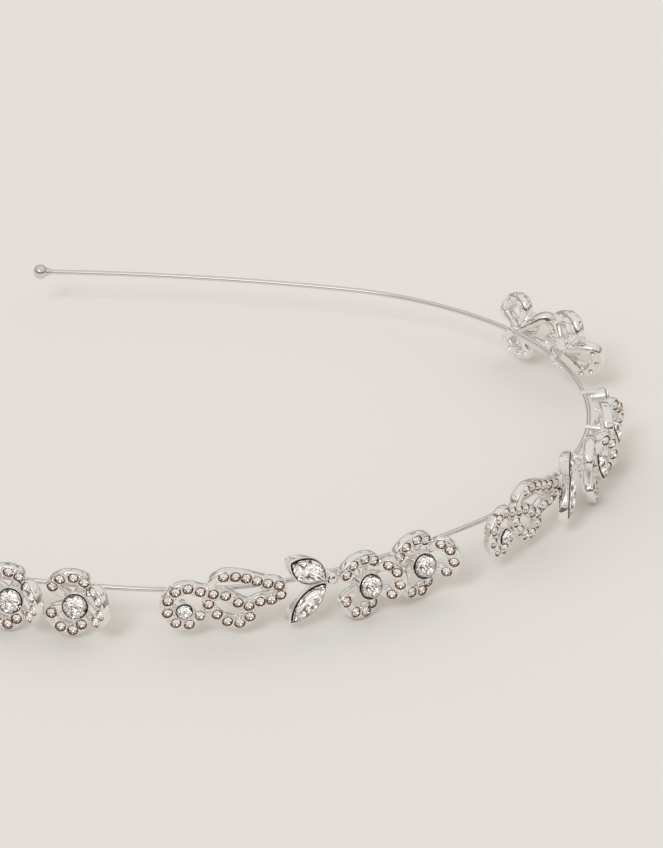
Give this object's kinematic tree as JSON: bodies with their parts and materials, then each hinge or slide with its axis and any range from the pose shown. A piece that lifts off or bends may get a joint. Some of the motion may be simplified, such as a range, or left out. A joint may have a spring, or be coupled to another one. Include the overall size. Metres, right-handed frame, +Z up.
{
  "type": "rhinestone headband",
  "caption": "Slim silver-plated wire hair band with ball ends, carrying cast flower, scroll and leaf motifs set with clear crystal stones.",
  "frame": {"origin": "middle of the band's footprint as it lies on its side, level with its lowest point", "axes": "+Z up from the surface that it lies on, +X across the head to the side with the crystal bend, +Y away from the viewer towards the ball-ended leg"},
  "size_m": [0.1871, 0.1364, 0.0188],
  "materials": {
    "silver_plate": "bright silver plate, polished, soft cast surface",
    "crystal": "clear cut glass, foiled behind"
  },
  "bodies": {
    "root": {"band_frame": "silver_plate", "flower_stone_1": "crystal", "flower_stone_2": "crystal", "flower_stone_3": "crystal", "flower_stone_4": "crystal", "flower_stone_5": "crystal", "flower_stone_6": "crystal", "flower_stone_7": "crystal", "flower_stone_8": "crystal", "leaf_stone_1": "crystal", "leaf_stone_2": "crystal", "leaf_stone_3": "crystal", "leaf_stone_4": "crystal", "scroll_stone_1": "crystal", "scroll_stone_2": "crystal", "single_stone": "crystal", "small_stones_1": "crystal", "small_stones_2": "crystal", "small_stones_3": "crystal", "small_stones_4": "crystal"}
  },
  "joints": []
}
